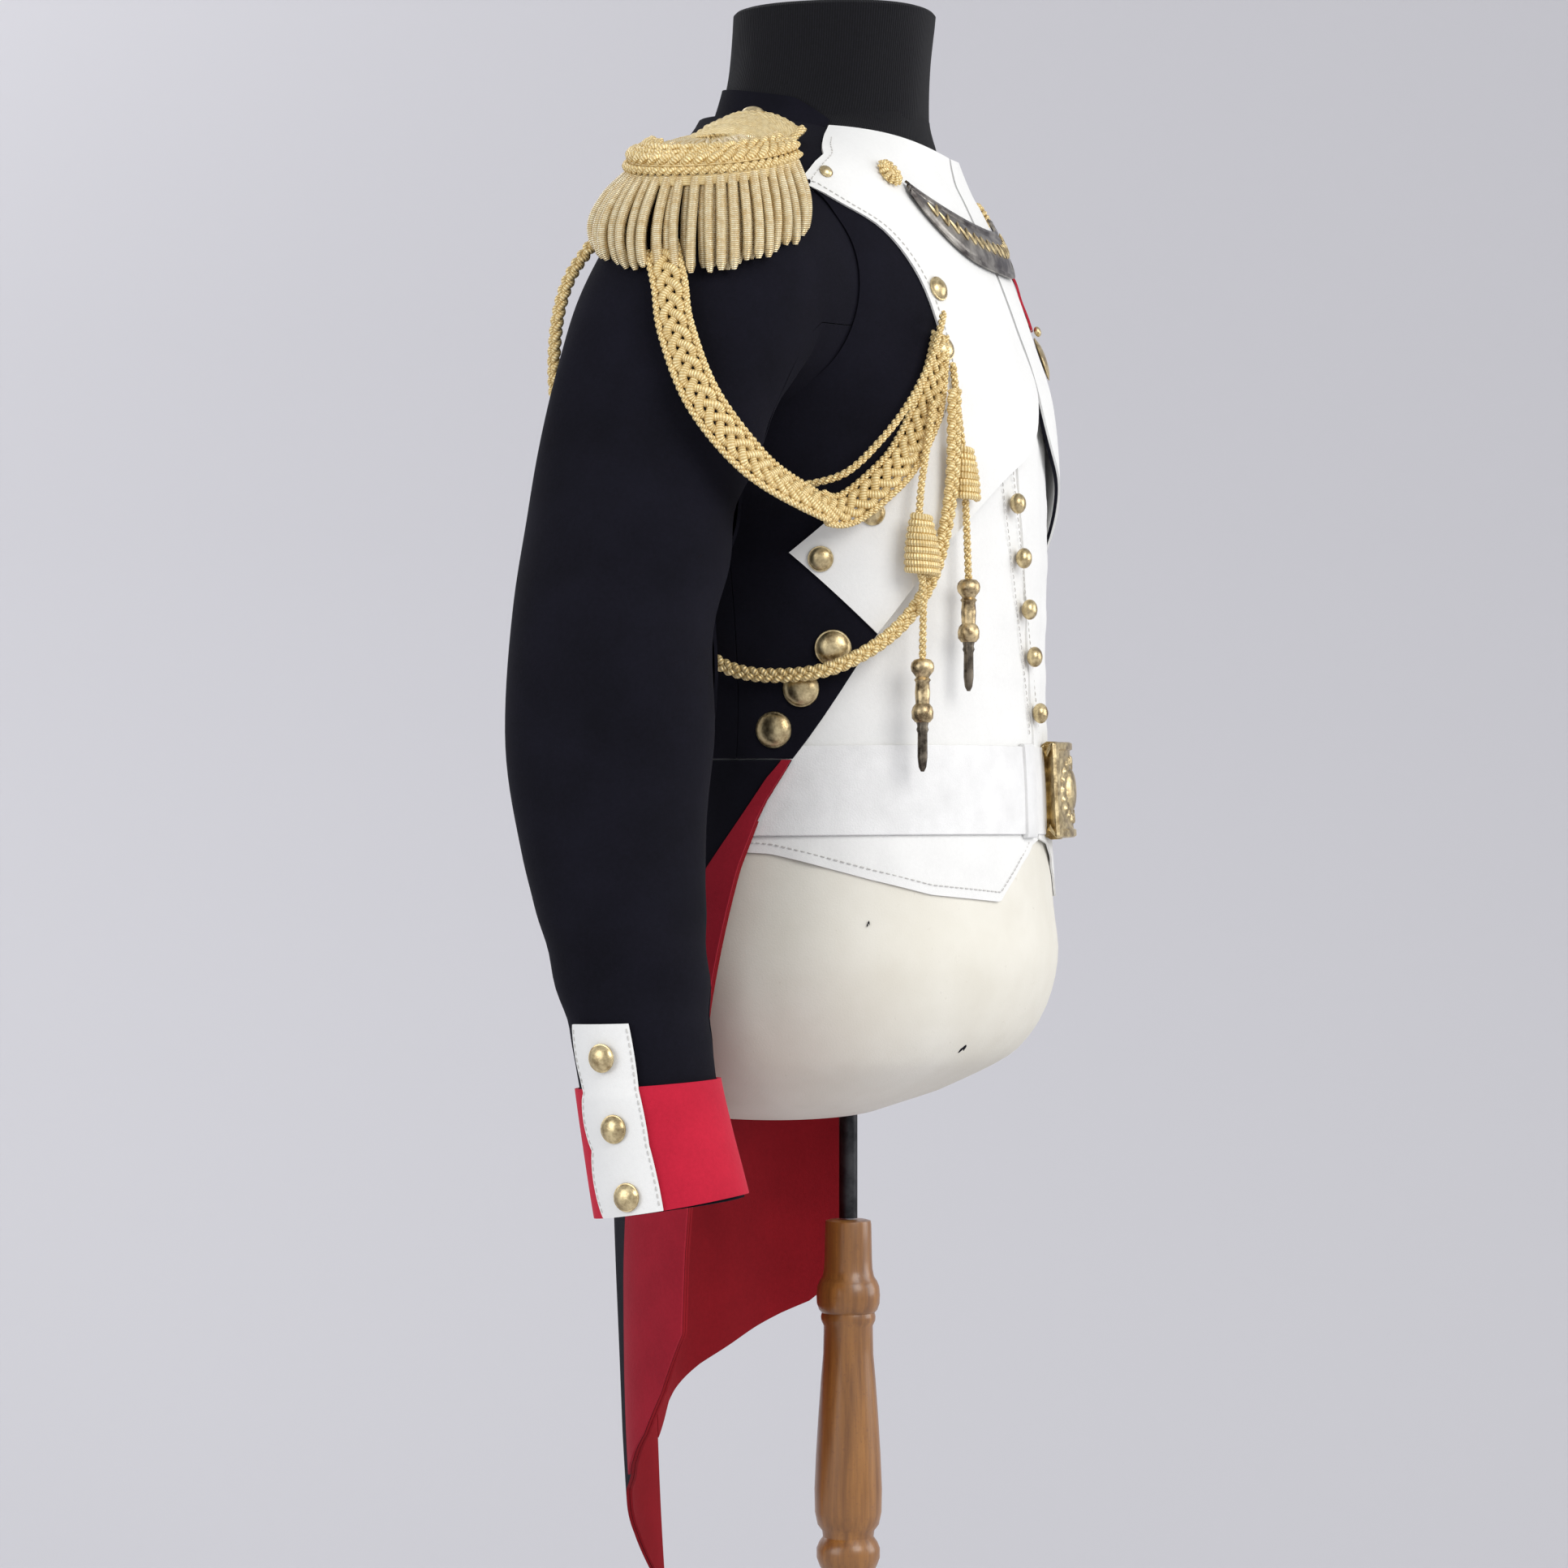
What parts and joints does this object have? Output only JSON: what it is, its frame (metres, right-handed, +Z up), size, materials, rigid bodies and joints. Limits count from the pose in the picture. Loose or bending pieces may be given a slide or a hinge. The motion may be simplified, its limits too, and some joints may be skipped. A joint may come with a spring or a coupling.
{
  "type": "military dress tunic on a dress form",
  "caption": "Dark blue full-dress tunic with white lapels, red turned-back tails, fringed epaulettes, shoulder cords, gorget and belt, shown on a limbless dress form and turned stand",
  "frame": {"origin": "on the floor, at the middle of the stand's base and under the pole's axis", "axes": "+Z is up, the tunic's front faces -Y and the wearer's right is -X"},
  "size_m": [0.6454, 0.3569, 1.586],
  "materials": {
    "linen_form": "stretched linen, matt",
    "neck_cover": "knitted cover, matt",
    "rod_iron": "dark oiled",
    "turned_wood": "varnished, satin",
    "navy_cloth": "fulled wool, matt",
    "scarlet_cloth": "fulled wool, matt",
    "white_cloth": "fulled wool, matt",
    "gold_lace": "metal thread lace, soft shine",
    "gilt_metal": "gilt, polished",
    "belt_leather": "whitened",
    "gold_cord": "metal thread cord, soft shine",
    "tag_metal": "worn gilt",
    "gorget_silver": "aged silver",
    "ribbon_silk": "ribbed silk"
  },
  "bodies": {
    "root": {"form_torso": "linen_form", "form_neck": "neck_cover", "stand_rod": "rod_iron", "stand_column": "turned_wood", "stand_base": "turned_wood", "coat_front_R": "navy_cloth", "coat_back_R": "navy_cloth", "skirt_R": "navy_cloth", "top_sleeve_R": "navy_cloth", "under_sleeve_R": "navy_cloth", "skirt_lining_R": "scarlet_cloth", "turnback_R": "scarlet_cloth", "cuff_R": "scarlet_cloth", "lapel_R": "white_cloth", "cuff_flap_R": "white_cloth", "vest_front_R": "white_cloth", "epaulette_strap_R": "gold_lace", "epaulette_crescent_R": "gold_lace", "epaulette_fringe_R": "gold_lace", "gorget_rosette_R": "gilt_metal", "coat_button_R1": "gilt_metal", "coat_button_R2": "gilt_metal", "coat_button_R3": "gilt_metal", "coat_front_L": "navy_cloth", "coat_back_L": "navy_cloth", "skirt_L": "navy_cloth", "top_sleeve_L": "navy_cloth", "under_sleeve_L": "navy_cloth", "skirt_lining_L": "scarlet_cloth", "turnback_L": "scarlet_cloth", "cuff_L": "scarlet_cloth", "lapel_L": "white_cloth", "cuff_flap_L": "white_cloth", "vest_front_L": "white_cloth", "epaulette_strap_L": "gold_lace", "epaulette_crescent_L": "gold_lace", "epaulette_fringe_L": "gold_lace", "gorget_rosette_L": "gilt_metal", "coat_button_L1": "gilt_metal", "coat_button_L2": "gilt_metal", "coat_button_L3": "gilt_metal", "collar": "navy_cloth", "belt": "belt_leather", "belt_keeper": "gilt_metal", "belt_buckle": "gilt_metal", "medal_disc": "gilt_metal", "aiguillette_band": "gold_cord", "aiguillette_thin_cord": "gold_cord", "aiguillette_braid": "gold_cord", "aiguillette_front_cord": "gold_cord", "aiguillette_rear_cord": "gold_cord", "aiguillette_tag_front": "tag_metal", "aiguillette_tag_rear": "tag_metal", "gorget": "gorget_silver", "medal_ribbon": "ribbon_silk"}
  },
  "joints": []
}
